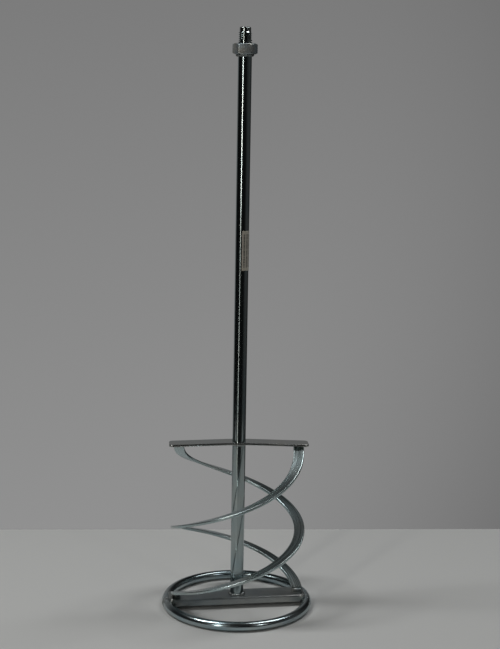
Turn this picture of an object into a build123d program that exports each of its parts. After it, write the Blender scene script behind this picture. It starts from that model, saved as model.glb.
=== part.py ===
from build123d import *
from math import cos, degrees, exp, radians, sin, tan
import os

# Mortar mixing paddle.
# A round shaft with a threaded drive end carries a welded cage: a flat crossbar high up, a thick
# crossbar inside a round-bar ring at the bottom, and two strip ribbons that wind down between them.
# Millimetres. The origin is on the shaft's axis at the ring's underside, +Z is up the shaft, and
# azimuths are degrees counter-clockwise from +X, seen from above.

os.makedirs("parts", exist_ok=True)

# ---- Driving dimensions ----

overall_height = 608.0          # ring underside to the tip of the drive end
fit_gap = 0.05                  # radial clearance of the nut and the label on the shaft

# Shaft and drive end, from the tip down
shaft_dia = 14.0
pilot_dia = 11.6                # plain lead-in ahead of the thread
pilot_length = 4.5
pilot_rounding = 1.2
thread_crest_dia = 13.8         # M14, crest diameter inside its 6g tolerance
thread_length = 9.5
neck_length = 2.0               # between the thread and the nut
runout_width = 0.8              # narrow groove that the thread runs out into, at its root diameter
runout_dia = 11.6

# Hexagon nut below the thread
nut_across_flats = 22.0
nut_height = 11.0
nut_chamfer_angle = 30.0
nut_face_share = 0.95           # chamfer circle, as a share of the width across flats
nut_azimuth = 0.0               # direction of one corner

# Base ring of round bar, closed by a butt weld
ring_outer_dia = 160.0
ring_bar_dia = 10.0
ring_joint_azimuth = 191.0
ring_joint_gap = 2.0

# Lower crossbar, coped to fit inside the ring
lower_bar_width = 26.0
lower_bar_thickness = 8.0
lower_bar_underside = 4.0
lower_bar_rounding = 1.6
lower_bar_azimuth = 8.5
ring_fit_gap = 1.2              # between the bar's end and the ring, filled by the weld

# Upper crossbar, flat strip with both arms pulled down a little
upper_bar_width = 18.0
upper_bar_thickness = 2.5
upper_bar_underside = 178.5
upper_bar_overhang = 5.3        # each end, past the ribbon's outer edge at its top
upper_bar_azimuth = 3.5
upper_bar_droop = 1.9           # degrees, beyond the flat at the hub
upper_hub_half = 12.0           # half length of that flat
upper_bar_corner = 4.0
upper_bar_rounding = 0.6        # of the long edges, as rolled
hub_hole_gap = 0.1

# Helical ribbons of flat strip, wound clockwise going down
ribbon_width = 11.0
ribbon_thickness = 3.0
ribbon_rounding = 0.8           # of its edges, as rolled
ribbon_ring_lap = 1.2           # its outer edge stands this far over the ring's inside
ribbon_top_inset = 3.0          # the radius is this much smaller at the very top
ribbon_lead_drop = 18.7         # extra fall of the steep start
ribbon_ease = 35.0              # degrees over which the steep start dies away
ribbon_foot_gap = 1.6           # under the strip's lower end, filled by the weld
ribbon_overrun = 2.0            # degrees above the start, trimmed off at the upper crossbar
ribbon_sections = 48

# Paper label on the shaft
label_bottom = 363.0
label_height = 41.0
label_paper = 0.15
label_wrap = 230.0              # degrees round the shaft
label_azimuth = -90.0           # its left edge

# Weld beads
nut_weld_leg = 2.4
hub_weld_leg = 1.8
foot_weld_leg = 2.0
weld_crown = 0.35               # how far a fillet bead bulges past its straight face
strip_top_weld = 2.2            # bead radii
strip_foot_weld = 2.6
bar_end_weld = 3.4
bar_end_weld_overlap = 0.3      # its centre lies this far over the ring's inside
bar_end_weld_crown = 0.8        # and its top this far above the bar
ring_weld_crown = 0.35
ring_weld_length = 9.0

# ---- Sizes that follow ----

shaft_radius = shaft_dia / 2
ring_bar_radius = ring_bar_dia / 2
ring_centre_radius = ring_outer_dia / 2 - ring_bar_radius
ring_inner_radius = ring_centre_radius - ring_bar_radius

thread_top = overall_height - pilot_length
thread_bottom = thread_top - thread_length
nut_top = thread_bottom - neck_length
nut_bottom = nut_top - nut_height

lower_bar_top = lower_bar_underside + lower_bar_thickness
lower_bar_reach = ring_inner_radius - ring_fit_gap

ribbon_outer_radius = ring_inner_radius + ribbon_ring_lap
upper_bar_reach = ribbon_outer_radius - ribbon_top_inset + upper_bar_overhang
ribbon_turn = 360.0 - (lower_bar_azimuth - upper_bar_azimuth)
ribbon_end_height = lower_bar_top + ribbon_foot_gap + ribbon_thickness / 2
ribbon_fall = upper_bar_underside - ribbon_end_height - ribbon_lead_drop
ribbon_rate = ribbon_fall / ribbon_turn


def polar(radius, azimuth, height):
    """A point at a radius and azimuth about the shaft."""
    return Vector(radius * cos(radians(azimuth)), radius * sin(radians(azimuth)), height)


def upright_plane(azimuth):
    """The upright plane through the shaft's axis: local x runs outwards, local y is up."""
    outwards = polar(1, azimuth, 0)
    return Plane(origin=(0, 0, 0), x_dir=outwards, z_dir=(outwards.Y, -outwards.X, 0))


# ---- Shaft, with its drive end turned on it ----

thread_radius = thread_crest_dia / 2
pilot_radius = pilot_dia / 2

with BuildPart() as shaft:
    with BuildSketch(Plane.XZ):
        with BuildLine():
            Polyline(
                (0, lower_bar_top),
                (shaft_radius, lower_bar_top),
                (shaft_radius, thread_bottom - runout_width),
                (runout_dia / 2, thread_bottom - runout_width),
                (runout_dia / 2, thread_bottom),
                (thread_radius, thread_bottom),
                (thread_radius, thread_top - (thread_radius - pilot_radius)),
                (pilot_radius, thread_top),
                (pilot_radius, overall_height),
                (0, overall_height),
                close=True,
            )
        make_face()
    revolve(axis=Axis.Z)
    fillet(shaft.edges().sort_by(Axis.Z)[-1], radius=pilot_rounding)

# ---- Hexagon nut: chamfered both ends and bored for the shaft ----

nut_corner_radius = nut_across_flats / 2 / cos(radians(30))
nut_face_radius = nut_across_flats / 2 * nut_face_share
nut_chamfer_reach = 2 * (nut_corner_radius - nut_face_radius)
nut_chamfer_drop = nut_chamfer_reach * tan(radians(nut_chamfer_angle))

with BuildPart() as hex_nut:
    with BuildSketch(Plane.XY.offset(nut_bottom)):
        RegularPolygon(radius=nut_corner_radius, side_count=6, rotation=nut_azimuth)
    extrude(amount=nut_height)
    with BuildSketch(Plane.XZ):
        with BuildLine():
            Polyline(
                (0, nut_bottom),
                (nut_face_radius, nut_bottom),
                (nut_face_radius + nut_chamfer_reach, nut_bottom + nut_chamfer_drop),
                (nut_face_radius + nut_chamfer_reach, nut_top - nut_chamfer_drop),
                (nut_face_radius, nut_top),
                (0, nut_top),
                close=True,
            )
        make_face()
    revolve(axis=Axis.Z, mode=Mode.INTERSECT)
    with Locations((0, 0, nut_top)):
        Hole(shaft_radius + fit_gap)

# ---- Base ring: one round bar rolled to a circle, with a narrow gap at its joint ----

ring_gap_angle = degrees(ring_joint_gap / ring_centre_radius)

with BuildPart() as base_ring:
    with BuildSketch(upright_plane(ring_joint_azimuth + ring_gap_angle / 2)):
        with Locations((ring_centre_radius, ring_bar_radius)):
            Circle(ring_bar_radius)
    revolve(axis=Axis.Z, revolution_arc=360 - ring_gap_angle)

# ---- Lower crossbar: thick flat bar, its ends coped to the ring ----

lower_bar_plane = Plane(
    origin=(0, 0, lower_bar_underside), x_dir=polar(1, lower_bar_azimuth, 0), z_dir=(0, 0, 1)
)

with BuildPart() as lower_crossbar:
    with BuildSketch(lower_bar_plane):
        Rectangle(2 * lower_bar_reach, lower_bar_width)
        Circle(lower_bar_reach, mode=Mode.INTERSECT)
    extrude(amount=lower_bar_thickness)
    long_edges = lower_crossbar.edges().filter_by(GeomType.LINE).filter_by(Axis.Z, reverse=True)
    fillet(long_edges, radius=lower_bar_rounding)

# ---- Upper crossbar: flat at the hub, both arms drooping, the shaft passes through it ----

arm_length = upper_bar_reach - upper_hub_half
arm_drop = arm_length * tan(radians(upper_bar_droop))
arm_low = upper_bar_underside - arm_drop
upper_bar_top = upper_bar_underside + upper_bar_thickness

with BuildPart() as upper_crossbar:
    with BuildSketch(upright_plane(upper_bar_azimuth)):
        with BuildLine():
            Polyline(
                (-upper_bar_reach, arm_low),
                (-upper_hub_half, upper_bar_underside),
                (upper_hub_half, upper_bar_underside),
                (upper_bar_reach, arm_low),
                (upper_bar_reach, arm_low + upper_bar_thickness),
                (upper_hub_half, upper_bar_top),
                (-upper_hub_half, upper_bar_top),
                (-upper_bar_reach, arm_low + upper_bar_thickness),
                close=True,
            )
        make_face()
    extrude(amount=upper_bar_width / 2, both=True)
    fillet(upper_crossbar.edges().filter_by(Axis.Z), radius=upper_bar_corner)
    fillet(upper_crossbar.edges().filter_by(Axis.Z, reverse=True), radius=upper_bar_rounding)
    with Locations((0, 0, upper_bar_top)):
        Hole(shaft_radius + hub_hole_gap)


# ---- Ribbons: strip on edge, steep at the top and easing into an even helix ----


def ribbon_plane(start_azimuth, turned):
    """The strip's cross-section plane after it has turned this many degrees from its start."""
    lead = exp(-turned / ribbon_ease)
    radius = ribbon_outer_radius - ribbon_width / 2 - ribbon_top_inset * lead
    height = upper_bar_underside - ribbon_rate * turned - ribbon_lead_drop * (1 - lead)
    azimuth = start_azimuth - turned
    outwards = polar(1, azimuth, 0)
    onwards = Vector(outwards.Y, -outwards.X, 0)
    growth = ribbon_top_inset / ribbon_ease * lead
    fall = ribbon_rate + ribbon_lead_drop / ribbon_ease * lead
    direction = onwards * radians(radius) + outwards * growth - Vector(0, 0, fall)
    return Plane(origin=polar(radius, azimuth, height), x_dir=outwards, z_dir=direction)


def arm_underside(azimuth):
    """The sloping underside of one arm of the upper crossbar, facing up."""
    outwards = polar(1, azimuth, 0)
    along_arm = outwards * cos(radians(upper_bar_droop)) - Vector(0, 0, sin(radians(upper_bar_droop)))
    across_arm = Vector(-outwards.Y, outwards.X, 0)
    bend = polar(upper_hub_half, azimuth, upper_bar_underside)
    return Plane(origin=bend, x_dir=along_arm, z_dir=along_arm.cross(across_arm))


def make_ribbon(start_azimuth):
    """One ribbon, lofted down its helix and trimmed flush with the arm above it."""
    with BuildPart() as ribbon:
        for section in range(ribbon_sections + 1):
            turned = (ribbon_turn + ribbon_overrun) * section / ribbon_sections - ribbon_overrun
            with BuildSketch(ribbon_plane(start_azimuth, turned)):
                RectangleRounded(ribbon_width, ribbon_thickness, ribbon_rounding)
        loft()
        split(bisect_by=arm_underside(start_azimuth), keep=Keep.BOTTOM)
    return ribbon


ribbon_right = make_ribbon(upper_bar_azimuth)
ribbon_left = make_ribbon(upper_bar_azimuth + 180)

# ---- Label: a strip of paper part of the way round the shaft ----

with BuildPart() as label:
    with BuildSketch(upright_plane(label_azimuth)):
        with Locations((shaft_radius + fit_gap + label_paper / 2, label_bottom + label_height / 2)):
            Rectangle(label_paper, label_height)
    revolve(axis=Axis.Z, revolution_arc=label_wrap)

# ---- Fillet welds round the shaft ----


def make_collar_weld(seat_height, leg, upwards):
    """A fillet bead round the shaft, on a flat seat above (upwards) or below it."""
    reach = leg if upwards else -leg
    bulge = weld_crown / 2 ** 0.5
    middle_height = seat_height + reach / 2 + (bulge if upwards else -bulge)
    with BuildPart() as weld:
        with BuildSketch(Plane.XZ):
            with BuildLine():
                Line((shaft_radius, seat_height), (shaft_radius + leg, seat_height))
                ThreePointArc(
                    (shaft_radius + leg, seat_height),
                    (shaft_radius + leg / 2 + bulge, middle_height),
                    (shaft_radius, seat_height + reach),
                )
                Line((shaft_radius, seat_height + reach), (shaft_radius, seat_height))
            make_face()
        revolve(axis=Axis.Z)
    return weld


nut_weld = make_collar_weld(nut_bottom, nut_weld_leg, upwards=False)
hub_weld = make_collar_weld(upper_bar_underside, hub_weld_leg, upwards=False)
foot_weld = make_collar_weld(lower_bar_top, foot_weld_leg, upwards=True)

# ---- Welds at the ends of the crossbars and ribbons ----

bead_centre_radius = ring_inner_radius + bar_end_weld_overlap
bead_centre_height = lower_bar_top - bar_end_weld + bar_end_weld_crown
bead_half_angle = degrees((lower_bar_width / 2 - lower_bar_rounding) / lower_bar_reach)


def add_run(start, end, radius):
    """A straight run of weld with rounded ends, added to the part being built."""
    run = end - start
    with BuildSketch(Plane(origin=start, z_dir=run)) as section:
        Circle(radius)
    extrude(section.sketch, amount=run.length)
    with Locations(start, end):
        Sphere(radius)


def make_bar_end_weld(azimuth):
    """The bead that fills the groove between the lower crossbar's end and the ring."""
    with BuildPart() as weld:
        with BuildSketch(upright_plane(azimuth - bead_half_angle)):
            with Locations((bead_centre_radius, bead_centre_height)):
                Circle(bar_end_weld)
        revolve(axis=Axis.Z, revolution_arc=2 * bead_half_angle)
        add(lower_crossbar.part, mode=Mode.SUBTRACT)
        add(base_ring.part, mode=Mode.SUBTRACT)
    return weld


def make_ribbon_top_weld(azimuth, ribbon):
    """The beads either side of a ribbon's trimmed top, under the arm."""
    seat = arm_underside(azimuth)
    inner = ribbon_outer_radius - ribbon_top_inset - ribbon_width
    from_bend = (inner + strip_top_weld / 2 - upper_hub_half) / cos(radians(upper_bar_droop))
    start = seat.from_local_coords(Vector(from_bend, 0, 0))
    end = seat.from_local_coords(Vector(from_bend + ribbon_width - strip_top_weld, 0, 0))
    with BuildPart() as weld:
        add_run(start, end, strip_top_weld)
        split(bisect_by=seat, keep=Keep.BOTTOM)
        add(ribbon.part, mode=Mode.SUBTRACT)
    return weld


def make_ribbon_foot_weld(azimuth, ribbon, end_weld):
    """The bead that ties a ribbon's lower end down to the crossbar and the ring."""
    inner = ribbon_outer_radius - ribbon_width
    height = lower_bar_top + ribbon_foot_gap / 2
    with BuildPart() as weld:
        add_run(
            polar(inner + strip_foot_weld / 2, azimuth, height),
            polar(ribbon_outer_radius - strip_foot_weld / 2, azimuth, height),
            strip_foot_weld,
        )
        add(ribbon.part, mode=Mode.SUBTRACT)
        add(lower_crossbar.part, mode=Mode.SUBTRACT)
        add(base_ring.part, mode=Mode.SUBTRACT)
        add(end_weld.part, mode=Mode.SUBTRACT)
    return weld


bar_end_weld_right = make_bar_end_weld(lower_bar_azimuth)
bar_end_weld_left = make_bar_end_weld(lower_bar_azimuth + 180)
ribbon_top_weld_right = make_ribbon_top_weld(upper_bar_azimuth, ribbon_right)
ribbon_top_weld_left = make_ribbon_top_weld(upper_bar_azimuth + 180, ribbon_left)
ribbon_foot_weld_right = make_ribbon_foot_weld(lower_bar_azimuth, ribbon_right, bar_end_weld_right)
ribbon_foot_weld_left = make_ribbon_foot_weld(lower_bar_azimuth + 180, ribbon_left, bar_end_weld_left)

# ---- Butt weld that closes the ring, dressed flush with the ring's underside ----

ring_weld_angle = degrees(ring_weld_length / ring_centre_radius)

with BuildPart() as ring_weld:
    with BuildSketch(upright_plane(ring_joint_azimuth - ring_weld_angle / 2)):
        with Locations((ring_centre_radius, ring_bar_radius)):
            Circle(ring_bar_radius + ring_weld_crown)
    revolve(axis=Axis.Z, revolution_arc=ring_weld_angle)
    split(bisect_by=Plane.XY, keep=Keep.TOP)
    add(base_ring.part, mode=Mode.SUBTRACT)
    add(lower_crossbar.part, mode=Mode.SUBTRACT)
    add(bar_end_weld_left.part, mode=Mode.SUBTRACT)
    add(ribbon_foot_weld_left.part, mode=Mode.SUBTRACT)

# ---- One named STEP file per piece ----

pieces = {
    "shaft": shaft,
    "hex_nut": hex_nut,
    "upper_crossbar": upper_crossbar,
    "lower_crossbar": lower_crossbar,
    "base_ring": base_ring,
    "ribbon_right": ribbon_right,
    "ribbon_left": ribbon_left,
    "label": label,
    "nut_weld": nut_weld,
    "hub_weld": hub_weld,
    "foot_weld": foot_weld,
    "bar_end_weld_right": bar_end_weld_right,
    "bar_end_weld_left": bar_end_weld_left,
    "ribbon_top_weld_right": ribbon_top_weld_right,
    "ribbon_top_weld_left": ribbon_top_weld_left,
    "ribbon_foot_weld_right": ribbon_foot_weld_right,
    "ribbon_foot_weld_left": ribbon_foot_weld_left,
    "ring_weld": ring_weld,
}

for name, piece in pieces.items():
    piece.part.label = name
    export_step(piece.part, f"parts/{name}.step")
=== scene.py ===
import random
from math import cos, pi, radians, sin, tan

import bmesh
import bpy
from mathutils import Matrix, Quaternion, Vector


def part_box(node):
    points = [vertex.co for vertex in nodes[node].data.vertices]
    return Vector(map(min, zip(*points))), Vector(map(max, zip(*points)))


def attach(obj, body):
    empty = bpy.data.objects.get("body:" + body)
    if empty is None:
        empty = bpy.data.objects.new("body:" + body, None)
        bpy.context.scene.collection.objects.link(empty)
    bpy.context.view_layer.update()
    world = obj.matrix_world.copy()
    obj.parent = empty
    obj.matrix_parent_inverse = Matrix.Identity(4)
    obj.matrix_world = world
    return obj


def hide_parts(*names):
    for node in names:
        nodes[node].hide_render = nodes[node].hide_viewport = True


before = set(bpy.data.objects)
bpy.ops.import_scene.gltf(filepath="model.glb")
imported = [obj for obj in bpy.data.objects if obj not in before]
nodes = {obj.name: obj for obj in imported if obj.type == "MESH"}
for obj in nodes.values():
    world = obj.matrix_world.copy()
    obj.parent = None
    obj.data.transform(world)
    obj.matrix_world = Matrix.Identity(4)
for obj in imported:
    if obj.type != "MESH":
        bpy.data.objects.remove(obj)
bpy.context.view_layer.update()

# ---- Shaft ----
# A drawn round bar of mild steel, turned down at its tip to a plain pilot and cut with a coarse
# right-hand thread that ends in a narrow groove. Like the whole tool it is zinc plated and clear
# passivated after welding.

mm = 0.001
shaft_foot, shaft_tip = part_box("shaft")[0].z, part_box("shaft")[1].z
shaft_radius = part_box("shaft")[1].x
thread_bottom = shaft_tip - 14.0 * mm
thread_top = shaft_tip - 4.5 * mm
thread_radius = 6.9 * mm
thread_root_radius = 5.82 * mm
thread_pitch = 2.0 * mm
thread_crest_flat = 0.25 * mm
thread_flank = radians(30)
pilot_radius = 5.8 * mm
pilot_rounding = 1.2 * mm
runout_width = 0.8 * mm
runout_radius = 5.8 * mm


def choose(piece):
    """Makes a piece the only one selected, in object mode."""
    if bpy.context.object and bpy.context.object.mode == "EDIT":
        bpy.ops.object.mode_set(mode="OBJECT")
    bpy.ops.object.select_all(action="DESELECT")
    piece.select_set(True)
    bpy.context.view_layer.objects.active = piece


def edit(piece, chosen=None):
    """Opens a piece in edit mode with only the faces that pass the test selected."""
    choose(piece)
    bpy.ops.object.mode_set(mode="EDIT")
    bpy.ops.mesh.select_mode(type="FACE")
    bpy.ops.mesh.select_all(action="DESELECT")
    if chosen:
        mesh = bmesh.from_edit_mesh(piece.data)
        for face in mesh.faces:
            face.select_set(chosen(face))
        bmesh.update_edit_mesh(piece.data)


def apply_modifier(piece, kind, **settings):
    """Adds a modifier with these settings and applies it."""
    choose(piece)
    modifier = piece.modifiers.new(kind.title(), kind)
    for setting, value in settings.items():
        setattr(modifier, setting, value)
    bpy.ops.object.modifier_apply(modifier=modifier.name)


def machine(piece, tool, operation="DIFFERENCE"):
    """Cuts, joins or trims a piece with a tool, which is used up."""
    apply_modifier(piece, "BOOLEAN", object=tool, operation=operation, solver="EXACT")
    bpy.data.objects.remove(tool)


def finish_piece(piece, name, smooth_angle=35):
    """Names a finished piece, puts its place in its mesh and smooths its curved faces."""
    choose(piece)
    bpy.ops.object.transform_apply(location=True, rotation=True, scale=True)
    bpy.ops.object.shade_smooth_by_angle(angle=radians(smooth_angle))
    piece.name = name
    piece.data.name = name


def turn_bar(outline, sides=96):
    """A bar turned about the shaft's axis to an outline of (radius, height) steps, foot first."""
    (foot_radius, foot), (radius, height) = outline[:2]
    bpy.ops.object.select_all(action="DESELECT")
    bpy.ops.mesh.primitive_cone_add(
        vertices=sides, radius1=foot_radius, radius2=radius,
        depth=height - foot, location=(0, 0, (foot + height) / 2),
    )
    bar = bpy.context.object
    edit(bar, lambda face: face.normal.z > 0.99)
    for next_radius, next_height in outline[2:]:
        rise = (0, 0, next_height - height)
        share = next_radius / radius
        bpy.ops.mesh.extrude_region_move(TRANSFORM_OT_translate={"value": rise})
        bpy.ops.transform.resize(value=(share, share, 1), center_override=(0, 0, next_height))
        radius, height = next_radius, next_height
    choose(bar)
    return bar


def rounded_rim(radius, height, rounding, steps=6):
    """Outline steps that round off a top rim."""
    turns = [pi / 2 * step / steps for step in range(steps + 1)]
    return [
        (radius - rounding * (1 - cos(turn)), height - rounding * (1 - sin(turn)))
        for turn in turns
    ]


shaft = turn_bar(
    [
        (shaft_radius, shaft_foot),
        (shaft_radius, thread_bottom - runout_width),
        (runout_radius, thread_bottom - runout_width),
        (runout_radius, thread_bottom),
        (thread_radius, thread_bottom),
        (thread_radius, thread_top - (thread_radius - pilot_radius)),
        (pilot_radius, thread_top),
        *rounded_rim(pilot_radius, shaft_tip, pilot_rounding),
    ]
)

groove_clearance = 0.1 * mm
groove_depth = thread_radius - thread_root_radius
groove_reach = groove_depth + groove_clearance
groove_mouth = thread_pitch - thread_crest_flat + 2 * groove_clearance * tan(thread_flank)
groove_root = groove_mouth - 2 * groove_reach * tan(thread_flank)
groove_turns = 6
groove_lead_in = 0.52
groove_start = thread_bottom - runout_width + groove_lead_in * groove_mouth

bpy.ops.mesh.primitive_plane_add(
    size=1, rotation=(pi / 2, 0, 0),
    location=(thread_root_radius + groove_reach / 2, 0, groove_start),
)
groove = bpy.context.object
groove.scale = (groove_reach, groove_mouth, 1)
bpy.ops.object.transform_apply(location=True, rotation=True, scale=True)
bpy.ops.object.mode_set(mode="EDIT")
bpy.ops.mesh.select_mode(type="VERT")
profile = bmesh.from_edit_mesh(groove.data)
for corner in profile.verts:
    corner.select_set(corner.co.x < thread_root_radius + groove_reach / 2)
bmesh.update_edit_mesh(groove.data)
bpy.ops.transform.resize(
    value=(1, 1, groove_root / groove_mouth),
    center_override=(thread_root_radius, 0, groove_start),
)
bpy.ops.mesh.select_all(action="SELECT")
bpy.ops.mesh.delete(type="ONLY_FACE")
bpy.ops.object.mode_set(mode="OBJECT")
apply_modifier(
    groove, "SCREW", axis="Z", angle=2 * pi, screw_offset=thread_pitch,
    iterations=groove_turns, steps=96, render_steps=96, use_smooth_shade=False,
)
edit(groove)
bpy.ops.mesh.select_all(action="SELECT")
bpy.ops.mesh.remove_doubles(threshold=0.001 * mm)
bpy.ops.mesh.fill_holes(sides=4)
bpy.ops.mesh.normals_make_consistent(inside=False)
machine(shaft, groove)
finish_piece(shaft, "threaded_shaft")


def add_node(tree, kind, inputs=None, **settings):
    """A material node with these input values and settings."""
    node = tree.nodes.new(kind)
    for setting, value in settings.items():
        setattr(node, setting, value)
    for socket, value in (inputs or {}).items():
        node.inputs[socket].default_value = value
    return node


def zinc_plate(name, cool, warm, roughness, lines, turn=0.0, around=False, line_depth=0.004,
               grain_depth=0.003, clouds=30.0):
    """Clear-passivated zinc plate over a metal whose rolling or drawing lines run one way.
    lines is how tightly the lines repeat along x, y and z, in the piece turned about z, or for
    a piece rolled around the shaft its radius, its length and z."""
    material = bpy.data.materials.new(name)
    material.use_nodes = True
    tree = material.node_tree
    shader = tree.nodes["Principled BSDF"]
    shader.inputs["Metallic"].default_value = 1.0
    place = add_node(tree, "ShaderNodeTexCoord").outputs["Object"]

    # Passivation clouds, a few centimetres across, with a finer bloom inside them.
    cloud = add_node(tree, "ShaderNodeTexNoise", {"Scale": clouds, "Detail": 3.0, "Roughness": 0.5})
    bloom = add_node(tree, "ShaderNodeTexNoise", {"Scale": 700.0, "Detail": 3.0, "Roughness": 0.65})
    tint = add_node(tree, "ShaderNodeMix", data_type="RGBA")
    tint.inputs["A"].default_value = (*cool, 1)
    tint.inputs["B"].default_value = (*warm, 1)
    cloud_edge = add_node(tree, "ShaderNodeMapRange", {"From Min": 0.3, "From Max": 0.7})
    dull = add_node(tree, "ShaderNodeMapRange", {
        "From Min": 0.3, "From Max": 0.75, "To Min": 1.0, "To Max": 0.9,
    })
    streak = add_node(tree, "ShaderNodeMapRange", {
        "From Min": 0.3, "From Max": 0.7, "To Min": 0.88, "To Max": 1.08,
    })
    shade = add_node(tree, "ShaderNodeMath", operation="MULTIPLY")
    colour = add_node(tree, "ShaderNodeVectorMath", operation="SCALE")
    tree.links.new(place, cloud.inputs["Vector"])
    tree.links.new(place, bloom.inputs["Vector"])
    tree.links.new(cloud.outputs["Fac"], cloud_edge.inputs["Value"])
    tree.links.new(cloud_edge.outputs["Result"], tint.inputs["Factor"])
    tree.links.new(bloom.outputs["Fac"], dull.inputs["Value"])
    tree.links.new(tint.outputs["Result"], colour.inputs[0])
    tree.links.new(dull.outputs["Result"], shade.inputs[0])
    tree.links.new(streak.outputs["Result"], shade.inputs[1])
    tree.links.new(shade.outputs["Value"], colour.inputs["Scale"])
    tree.links.new(colour.outputs["Vector"], shader.inputs["Base Color"])

    # Drawing or rolling lines: noise stretched along the metal.
    stretch = add_node(tree, "ShaderNodeMapping", {"Scale": lines, "Rotation": (0, 0, -turn)})
    line = add_node(tree, "ShaderNodeTexNoise", {"Scale": 1.0, "Detail": 3.0, "Roughness": 0.5})
    if around:
        split = add_node(tree, "ShaderNodeSeparateXYZ")
        flat = add_node(tree, "ShaderNodeVectorMath", {1: (1, 1, 0)}, operation="MULTIPLY")
        radius = add_node(tree, "ShaderNodeVectorMath", operation="LENGTH")
        rolled = add_node(tree, "ShaderNodeCombineXYZ")
        tree.links.new(place, split.inputs["Vector"])
        tree.links.new(place, flat.inputs[0])
        tree.links.new(flat.outputs["Vector"], radius.inputs[0])
        tree.links.new(radius.outputs["Value"], rolled.inputs["X"])
        tree.links.new(split.outputs["X"], rolled.inputs["Y"])
        tree.links.new(split.outputs["Z"], rolled.inputs["Z"])
        tree.links.new(rolled.outputs["Vector"], stretch.inputs["Vector"])
    else:
        tree.links.new(place, stretch.inputs["Vector"])
    tree.links.new(stretch.outputs["Vector"], line.inputs["Vector"])
    sheen = add_node(tree, "ShaderNodeMapRange", {
        "From Min": 0.3, "From Max": 0.7, "To Min": roughness * 0.85, "To Max": roughness * 1.15,
    })
    tree.links.new(line.outputs["Fac"], streak.inputs["Value"])
    tree.links.new(line.outputs["Fac"], sheen.inputs["Value"])
    tree.links.new(sheen.outputs["Result"], shader.inputs["Roughness"])
    scratch = add_node(tree, "ShaderNodeBump", {"Strength": 1.0, "Distance": line_depth * mm})
    tree.links.new(line.outputs["Fac"], scratch.inputs["Height"])
    grain = add_node(tree, "ShaderNodeBump", {"Strength": 1.0, "Distance": grain_depth * mm})
    tree.links.new(bloom.outputs["Fac"], grain.inputs["Height"])
    tree.links.new(scratch.outputs["Normal"], grain.inputs["Normal"])
    tree.links.new(grain.outputs["Normal"], shader.inputs["Normal"])
    return material


def give_material(piece, material):
    """Puts one material on the whole of a piece."""
    piece.data.materials.clear()
    piece.data.materials.append(material)


drawn_bar = zinc_plate(
    "drawn_bar_zinc", cool=(0.33, 0.41, 0.43), warm=(0.40, 0.44, 0.43), roughness=0.13,
    lines=(1800, 1800, 22), line_depth=0.00025, grain_depth=0.00015,
)
give_material(shaft, drawn_bar)
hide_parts("shaft")
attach(shaft, "root")

# ---- Hexagon nut ----
# A plain steel hexagon with both faces chamfered, bored to slide over the shaft. It gives the
# spanner its hold, and is welded on from below before plating.

nut_low, nut_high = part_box("hex_nut")
nut_flats = nut_high.y - nut_low.y
nut_corners = nut_flats / cos(radians(30))
nut_chamfer = radians(30)
nut_face_share = 0.95
nut_face_radius = nut_flats / 2 * nut_face_share
bore_radius = shaft_radius + 0.05 * mm
nut_top = nut_high.z
nut_edge_rounding = 0.22 * mm
blank_radius = nut_corners / 2 + 1.0 * mm
blank_drop = (blank_radius - nut_face_radius) * tan(nut_chamfer)

bpy.ops.object.select_all(action="DESELECT")
bpy.ops.mesh.primitive_cylinder_add(
    vertices=6, radius=nut_corners / 2, depth=nut_top - nut_low.z,
    location=(0, 0, (nut_top + nut_low.z) / 2), rotation=(0, 0, radians(30)),
)
nut = bpy.context.object
lathe_blank = turn_bar(
    [
        (nut_face_radius, nut_low.z),
        (blank_radius, nut_low.z + blank_drop),
        (blank_radius, nut_top - blank_drop),
        (nut_face_radius, nut_top),
    ]
)
machine(nut, lathe_blank, "INTERSECT")
drill = turn_bar([(bore_radius, nut_low.z - 1 * mm), (bore_radius, nut_top + 1 * mm)])
machine(nut, drill)
apply_modifier(
    nut, "BEVEL", width=nut_edge_rounding, segments=3, limit_method="ANGLE",
    angle_limit=radians(20), use_clamp_overlap=False, harden_normals=False,
)
finish_piece(nut, "hexagon_nut")

turned_nut = zinc_plate(
    "nut_zinc", cool=(0.55, 0.66, 0.72), warm=(0.66, 0.66, 0.61), roughness=0.37,
    lines=(900, 900, 900), line_depth=0.006, clouds=120.0,
)
give_material(nut, turned_nut)
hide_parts("hex_nut")
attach(nut, "root")

# ---- Base ring ----
# One length of bright round bar rolled to a circle and butt welded shut. It guards the bucket's
# wall and floor, and both ends of the lower crossbar are welded to its inside.

ring_low, ring_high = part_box("base_ring")
ring_bar_radius = (ring_high.z - ring_low.z) / 2
ring_centre_radius = ring_high.x - ring_bar_radius
ring_joint_azimuth = radians(191)

rolled_ring = zinc_plate(
    "rolled_ring_zinc", cool=(0.36, 0.47, 0.52), warm=(0.46, 0.49, 0.48), roughness=0.21,
    lines=(1800, 25, 1800), around=True, line_depth=0.0004, grain_depth=0.0003,
)
give_material(nodes["base_ring"], rolled_ring)

# ---- Crossbars ----
# The lower one is thick hot-rolled flat bar, coped to the ring; the upper one is thin strip with
# rounded corners, drilled for the shaft. Scale marks from the rolling show through the plate.

lower_bar_azimuth = radians(8.5)
upper_bar_azimuth = radians(3.5)

rolled_flat = zinc_plate(
    "lower_bar_zinc", cool=(0.30, 0.34, 0.36), warm=(0.38, 0.39, 0.38), roughness=0.34,
    lines=(30, 900, 900), turn=lower_bar_azimuth, line_depth=0.008,
)
give_material(nodes["lower_crossbar"], rolled_flat)
rolled_strip = zinc_plate(
    "upper_bar_zinc", cool=(0.46, 0.51, 0.52), warm=(0.52, 0.52, 0.49), roughness=0.23,
    lines=(30, 900, 900), turn=upper_bar_azimuth, line_depth=0.006,
)
give_material(nodes["upper_crossbar"], rolled_strip)

# ---- Ribbons ----
# Two flat strips bent the hard way into helices, so their wide sides face up and down and push the
# mortar as the tool turns. Each runs from under the upper crossbar to the lower one.

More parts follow.
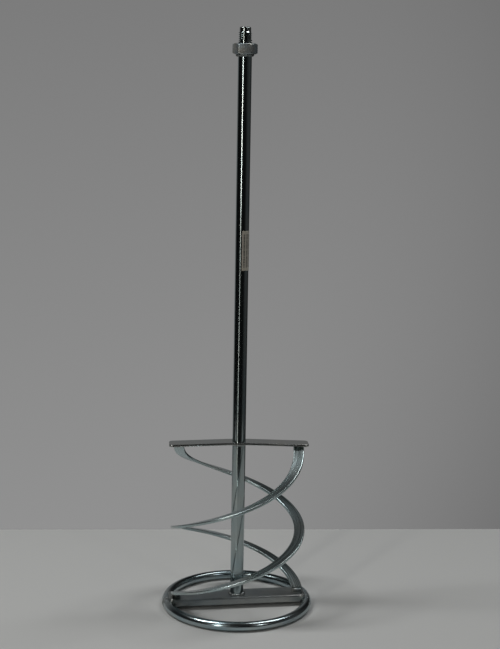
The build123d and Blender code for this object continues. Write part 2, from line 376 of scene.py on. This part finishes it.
ribbon_zinc = zinc_plate(
    "ribbon_zinc", cool=(0.42, 0.53, 0.55), warm=(0.50, 0.56, 0.55), roughness=0.27,
    lines=(1500, 25, 25), around=True, line_depth=0.0015, grain_depth=0.001,
)
for ribbon in ("ribbon_right", "ribbon_left"):
    give_material(nodes[ribbon], ribbon_zinc)

# ---- Welds ----
# Gas-shielded beads run by hand. Each is a row of overlapping frozen puddles, left as laid and
# plated over, with a little spatter on the ring beside both bar ends.

weld_dice = random.Random(7)
bead_voxel = 0.24 * mm
puddle_spacing = 1.15 * mm
straight_spacing = 0.9 * puddle_spacing
puddle_flatness = 0.62

weld_zinc = zinc_plate(
    "weld_zinc", cool=(0.24, 0.28, 0.29), warm=(0.42, 0.43, 0.41), roughness=0.34,
    lines=(700, 700, 700), line_depth=0.03, clouds=180.0,
)


def lay_bead(name, node, path, radius):
    """A bead of puddles along a path of points, melted together in place of a CAD weld."""
    bpy.ops.object.select_all(action="DESELECT")
    bpy.ops.mesh.primitive_ico_sphere_add(subdivisions=3, radius=1)
    puddle = bpy.context.object
    copies = []
    for here, after in zip(path, path[1:] + [2 * path[-1] - path[-2]]):
        copy = puddle.copy()
        copy.data = puddle.data.copy()
        bpy.context.collection.objects.link(copy)
        size = radius * weld_dice.uniform(0.93, 1.05)
        copy.location = here
        copy.scale = (size, size, size * puddle_flatness)
        copy.rotation_euler = (after - here).to_track_quat("Z", "Y").to_euler()
        copies.append(copy)
    bpy.data.objects.remove(puddle)
    choose(copies[0])
    for copy in copies:
        copy.select_set(True)
    bpy.ops.object.join()
    bead = bpy.context.object
    bpy.ops.object.transform_apply(location=True, rotation=True, scale=True)
    apply_modifier(bead, "REMESH", mode="VOXEL", voxel_size=bead_voxel)
    apply_modifier(bead, "SMOOTH", factor=0.4, iterations=2)
    finish_piece(bead, name, smooth_angle=180)
    give_material(bead, weld_zinc)
    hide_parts(node)
    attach(bead, "root")


def polar(radius, azimuth, height):
    """A point at a radius and azimuth about the shaft."""
    return Vector((radius * cos(azimuth), radius * sin(azimuth), height))


def arc_path(radius, height, start, end):
    """Puddle places along an arc about the shaft."""
    count = max(2, round(radius * abs(end - start) / puddle_spacing))
    return [polar(radius, start + (end - start) * step / count, height) for step in range(count)]


def straight_path(start, end):
    """Puddle places along a straight run."""
    count = max(2, round((end - start).length / straight_spacing))
    return [start.lerp(end, step / count) for step in range(count + 1)]


collar_tuck = 0.18
collar_fullness = 0.8


def lay_collar(name, node, leg, seat, way):
    """A bead all round the shaft, tucked into the corner above or below a seat."""
    path = arc_path(shaft_radius + collar_tuck * leg, seat + way * collar_tuck * leg, 0, 2 * pi)
    lay_bead(name, node, path, leg * collar_fullness)


nut_leg = 2.4 * mm
hub_leg = 1.8 * mm
foot_leg = 2.0 * mm
lower_bar_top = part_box("lower_crossbar")[1].z
hub_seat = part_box("hub_weld")[1].z
lay_collar("nut_bead", "nut_weld", nut_leg, nut_low.z, -1)
lay_collar("hub_bead", "hub_weld", hub_leg, hub_seat, -1)
lay_collar("foot_bead", "foot_weld", foot_leg, lower_bar_top, 1)

end_radius = 3.3 * mm
end_arc_radius = ring_centre_radius - ring_bar_radius + 0.3 * mm
end_height = lower_bar_top - 2.5 * mm
end_half_angle = radians(9.4)
foot_radius = 2.5 * mm
foot_inner, foot_outer = 61.5 * mm, 69.8 * mm
foot_height = lower_bar_top + 0.8 * mm
top_radius = 2.1 * mm
top_inner, top_outer = 58.2 * mm, 67.0 * mm
top_drop = 0.5 * mm
arm_droop = radians(1.9)
arm_bend = 12.0 * mm


def under_arm(radius, azimuth):
    """A place just under an arm of the upper crossbar, which droops from its bend outwards."""
    height = hub_seat - (radius - arm_bend) * tan(arm_droop) - top_drop
    return polar(radius, azimuth, height)


for side, facing in (("right", 0.0), ("left", pi)):
    lower = lower_bar_azimuth + facing
    upper = upper_bar_azimuth + facing
    ends = arc_path(end_arc_radius, end_height, lower - end_half_angle, lower + end_half_angle)
    lay_bead(f"bar_end_bead_{side}", f"bar_end_weld_{side}", ends, end_radius)
    feet = straight_path(
        polar(foot_inner, lower, foot_height), polar(foot_outer, lower, foot_height),
    )
    lay_bead(f"ribbon_foot_bead_{side}", f"ribbon_foot_weld_{side}", feet, foot_radius)
    tops = straight_path(under_arm(top_inner, upper), under_arm(top_outer, upper))
    lay_bead(f"ribbon_top_bead_{side}", f"ribbon_top_weld_{side}", tops, top_radius)

ring_weld_sweep = radians(6.9)
ring_puddles = 22
ring_puddle_radius = 1.85 * mm
ring_puddle_depth = ring_bar_radius - 1.5 * mm
around_bar = []
for lap in (-0.28, 0, 0.28):
    heading = ring_joint_azimuth + lap * ring_weld_sweep
    for step in range(ring_puddles):
        turn = radians(-60) + radians(300) * step / (ring_puddles - 1)
        reach = ring_centre_radius + cos(turn) * ring_puddle_depth
        height = ring_bar_radius + sin(turn) * ring_puddle_depth
        around_bar.append(polar(reach, heading, height))
lay_bead("ring_bead", "ring_weld", around_bar, ring_puddle_radius)

spatter_spread = radians(9)
left_drops, right_drops = 34, 26
bpy.ops.object.select_all(action="DESELECT")
drops = []
for side, count in ((lower_bar_azimuth + pi, left_drops), (lower_bar_azimuth, right_drops)):
    for _ in range(count):
        around = side + weld_dice.gauss(0, spatter_spread)
        over = radians(weld_dice.uniform(35, 150))
        place = polar(
            ring_centre_radius + cos(over) * ring_bar_radius, around,
            ring_bar_radius + sin(over) * ring_bar_radius,
        )
        size = weld_dice.uniform(0.15, 0.42) * mm
        bpy.ops.mesh.primitive_ico_sphere_add(subdivisions=2, radius=size, location=place)
        drops.append(bpy.context.object)
choose(drops[0])
for drop in drops:
    drop.select_set(True)
bpy.ops.object.join()
spatter = bpy.context.object
finish_piece(spatter, "weld_spatter", smooth_angle=180)
give_material(spatter, weld_zinc)
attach(spatter, "root")

# ---- Label ----
# A small strip of pale uncoated paper glued part of the way round the shaft after plating. Its
# print is short grey dashes in rows that run up the shaft, inside a margin at each end.

label_low, label_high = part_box("label")
label_wrap = radians(230)
label_start = radians(-90)
paper = 0.15 * mm
glue = 0.05 * mm
paper_radius = shaft_radius + glue + paper
bpy.ops.object.select_all(action="DESELECT")
bpy.ops.mesh.primitive_grid_add(x_subdivisions=64, y_subdivisions=24, size=1, calc_uvs=True)
label = bpy.context.object
for corner in label.data.vertices:
    across, up = corner.co.x + 0.5, corner.co.y + 0.5
    height = label_low.z + up * (label_high.z - label_low.z)
    corner.co = polar(paper_radius, label_start + across * label_wrap, height)
apply_modifier(label, "SOLIDIFY", thickness=paper, offset=-1)
finish_piece(label, "paper_label")

printed = bpy.data.materials.new("printed_paper")
printed.use_nodes = True
tree = printed.node_tree
shader = tree.nodes["Principled BSDF"]
shader.inputs["Roughness"].default_value = 0.7
sheet = add_node(tree, "ShaderNodeTexCoord").outputs["UV"]
across_up = add_node(tree, "ShaderNodeSeparateXYZ")
print_rows = 9.0
dashes_in_row = 46.0
rows = add_node(tree, "ShaderNodeMath", {1: print_rows}, operation="MULTIPLY")
row_part = add_node(tree, "ShaderNodeMath", operation="FRACT")
row_number = add_node(tree, "ShaderNodeMath", operation="FLOOR")
in_row = add_node(tree, "ShaderNodeMapRange", {"From Min": 0.45, "From Max": 0.5})
along_row = add_node(tree, "ShaderNodeMath", {1: dashes_in_row}, operation="MULTIPLY")
dash_place = add_node(tree, "ShaderNodeCombineXYZ")
dash = add_node(tree, "ShaderNodeTexNoise", {"Scale": 1.0, "Detail": 1.0})
is_dash = add_node(tree, "ShaderNodeMapRange", {"From Min": 0.44, "From Max": 0.5})
margin = add_node(tree, "ShaderNodeMath", {1: 0.5, 2: 0.42}, operation="COMPARE")
ink = add_node(tree, "ShaderNodeMath", operation="MULTIPLY")
ink_inside = add_node(tree, "ShaderNodeMath", operation="MULTIPLY")
fibre = add_node(tree, "ShaderNodeTexNoise", {"Scale": 2500.0, "Detail": 4.0})
paper_tone = add_node(tree, "ShaderNodeMix", data_type="RGBA")
paper_tone.inputs["A"].default_value = (0.46, 0.44, 0.38, 1)
paper_tone.inputs["B"].default_value = (0.54, 0.52, 0.45, 1)
print_tone = add_node(tree, "ShaderNodeMix", data_type="RGBA")
print_tone.inputs["B"].default_value = (0.07, 0.07, 0.075, 1)
tooth = add_node(tree, "ShaderNodeBump", {"Strength": 0.4, "Distance": 0.02 * mm})
tree.links.new(sheet, across_up.inputs["Vector"])
tree.links.new(across_up.outputs["X"], rows.inputs[0])
tree.links.new(rows.outputs["Value"], row_part.inputs[0])
tree.links.new(rows.outputs["Value"], row_number.inputs[0])
tree.links.new(row_part.outputs["Value"], in_row.inputs["Value"])
tree.links.new(across_up.outputs["Y"], along_row.inputs[0])
tree.links.new(row_number.outputs["Value"], dash_place.inputs["X"])
tree.links.new(along_row.outputs["Value"], dash_place.inputs["Y"])
tree.links.new(dash_place.outputs["Vector"], dash.inputs["Vector"])
tree.links.new(dash.outputs["Fac"], is_dash.inputs["Value"])
tree.links.new(across_up.outputs["Y"], margin.inputs[0])
tree.links.new(in_row.outputs["Result"], ink.inputs[0])
tree.links.new(is_dash.outputs["Result"], ink.inputs[1])
tree.links.new(ink.outputs["Value"], ink_inside.inputs[0])
tree.links.new(margin.outputs["Value"], ink_inside.inputs[1])
tree.links.new(fibre.outputs["Fac"], paper_tone.inputs["Factor"])
tree.links.new(paper_tone.outputs["Result"], print_tone.inputs["A"])
tree.links.new(ink_inside.outputs["Value"], print_tone.inputs["Factor"])
tree.links.new(print_tone.outputs["Result"], shader.inputs["Base Color"])
tree.links.new(fibre.outputs["Fac"], tooth.inputs["Height"])
tree.links.new(tooth.outputs["Normal"], shader.inputs["Normal"])
give_material(label, printed)
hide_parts("label")
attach(label, "root")

# ---- Studio ----
# A pale table top in a dim room, with grey cloth hung behind it. Two narrow soft lights at the
# left draw the long line down the shaft, a weak one at the right fills in, and two overhead ones
# light the ring and the ribbons.

table_back = 0.245
table_front = -0.46
table_half = 0.66
table_thickness = 0.03
table_turn = radians(2.8)
bpy.ops.object.select_all(action="DESELECT")
bpy.ops.mesh.primitive_cube_add(
    size=1, location=(0, (table_back + table_front) / 2, -table_thickness / 2),
    scale=(2 * table_half, table_back - table_front, table_thickness),
    rotation=(0, 0, table_turn),
)
table = bpy.context.object
table.name = "table"
table_paint = bpy.data.materials.new("pale_table")
table_paint.use_nodes = True
tree = table_paint.node_tree
shader = tree.nodes["Principled BSDF"]
shader.inputs["Base Color"].default_value = (0.62, 0.63, 0.62, 1)
shader.inputs["Roughness"].default_value = 0.6
give_material(table, table_paint)

world = bpy.data.worlds.new("studio")
bpy.context.scene.world = world
world.use_nodes = True
tree = world.node_tree
background = tree.nodes["Background"]
facing = add_node(tree, "ShaderNodeTexCoord")
split = add_node(tree, "ShaderNodeSeparateXYZ")
cloth_middle = radians(110)
cloth_direction = (cos(cloth_middle), sin(cloth_middle), 0)
towards_cloth = add_node(
    tree, "ShaderNodeVectorMath", {1: cloth_direction}, operation="DOT_PRODUCT",
)
behind = add_node(
    tree, "ShaderNodeMapRange", {"From Min": 0.66, "From Max": 0.93},
    interpolation_type="SMOOTHSTEP",
)
below_ceiling = add_node(
    tree, "ShaderNodeMapRange", {"From Min": 0.65, "From Max": 0.35},
    interpolation_type="SMOOTHSTEP",
)
cloth_share = add_node(tree, "ShaderNodeMath", operation="MULTIPLY")
cloth_tone = add_node(tree, "ShaderNodeMapRange", {
    "From Min": 0.04, "From Max": -0.32, "To Min": 0.20, "To Max": 0.28,
})
cloth = add_node(tree, "ShaderNodeMix", data_type="RGBA")
right_wall = add_node(tree, "ShaderNodeMapRange", {
    "From Min": 0.6, "From Max": 1.0, "To Min": 0.007, "To Max": 0.06,
})
tree.links.new(facing.outputs["Generated"], split.inputs[0])
tree.links.new(facing.outputs["Generated"], towards_cloth.inputs[0])
tree.links.new(towards_cloth.outputs["Value"], behind.inputs["Value"])
tree.links.new(split.outputs["Z"], below_ceiling.inputs["Value"])
tree.links.new(split.outputs["X"], right_wall.inputs["Value"])
tree.links.new(right_wall.outputs["Result"], cloth.inputs["A"])
tree.links.new(behind.outputs["Result"], cloth_share.inputs[0])
tree.links.new(below_ceiling.outputs["Result"], cloth_share.inputs[1])
tree.links.new(split.outputs["Z"], cloth_tone.inputs["Value"])
tree.links.new(cloth_share.outputs[0], cloth.inputs["Factor"])
tree.links.new(cloth_tone.outputs["Result"], cloth.inputs["B"])
tree.links.new(cloth.outputs["Result"], background.inputs["Color"])


def softbox(name, azimuth, distance, height, width, tall, power, aim, tint=(1, 1, 1)):
    """A rectangular soft light at an azimuth about the shaft, aimed at a height on it."""
    light = bpy.data.lights.new(name, "AREA")
    light.color = tint
    light.shape = "RECTANGLE"
    light.size = width
    light.size_y = tall
    light.energy = power
    lamp = bpy.data.objects.new(name, light)
    bpy.context.collection.objects.link(lamp)
    lamp.location = polar(distance, radians(azimuth), height)
    lamp.rotation_euler = (lamp.location - Vector((0, 0, aim))).to_track_quat("Z", "Y").to_euler()


warm_white = (1, 0.95, 0.88)
softbox("left_softbox", -118, distance=1.5, height=0.865, width=0.09, tall=1.17,
        power=4.3, aim=0.865, tint=warm_white)
softbox("left_low_softbox", -118, distance=1.5, height=-0.01, width=0.09, tall=0.58,
        power=0.4, aim=-0.01, tint=warm_white)
softbox("right_softbox", -50, distance=1.6, height=1.1, width=0.12, tall=0.5,
        power=1.5, aim=0.3)
softbox("left_overhead", 186, distance=0.8, height=1.7, width=0.25, tall=0.8,
        power=11, aim=0.1)
softbox("right_overhead", 24, distance=0.75, height=1.7, width=0.3, tall=0.9,
        power=7, aim=0.1)

# ---- Camera ----
# A long lens at the height of the shaft's upper end, looking slightly down so that the ring shows
# as a flat oval, with a little roll that leans the shaft as it stands.

camera_data = bpy.data.cameras.new("camera")
camera_data.sensor_fit = "VERTICAL"
camera_data.sensor_height = 36
camera_data.lens = 79.05
camera = bpy.data.objects.new("camera", camera_data)
bpy.context.collection.objects.link(camera)
camera.location = (0, -1.4522, 0.5786)
camera_pan = radians(-0.377)
camera_tilt = radians(90 - 10.635)
camera_roll = radians(0.965)
camera.rotation_mode = "QUATERNION"
camera.rotation_quaternion = (
    Quaternion((0, 0, 1), camera_pan)
    @ Quaternion((1, 0, 0), camera_tilt)
    @ Quaternion((0, 0, 1), camera_roll)
)
bpy.context.scene.camera = camera
bpy.context.scene.view_settings.view_transform = "Standard"
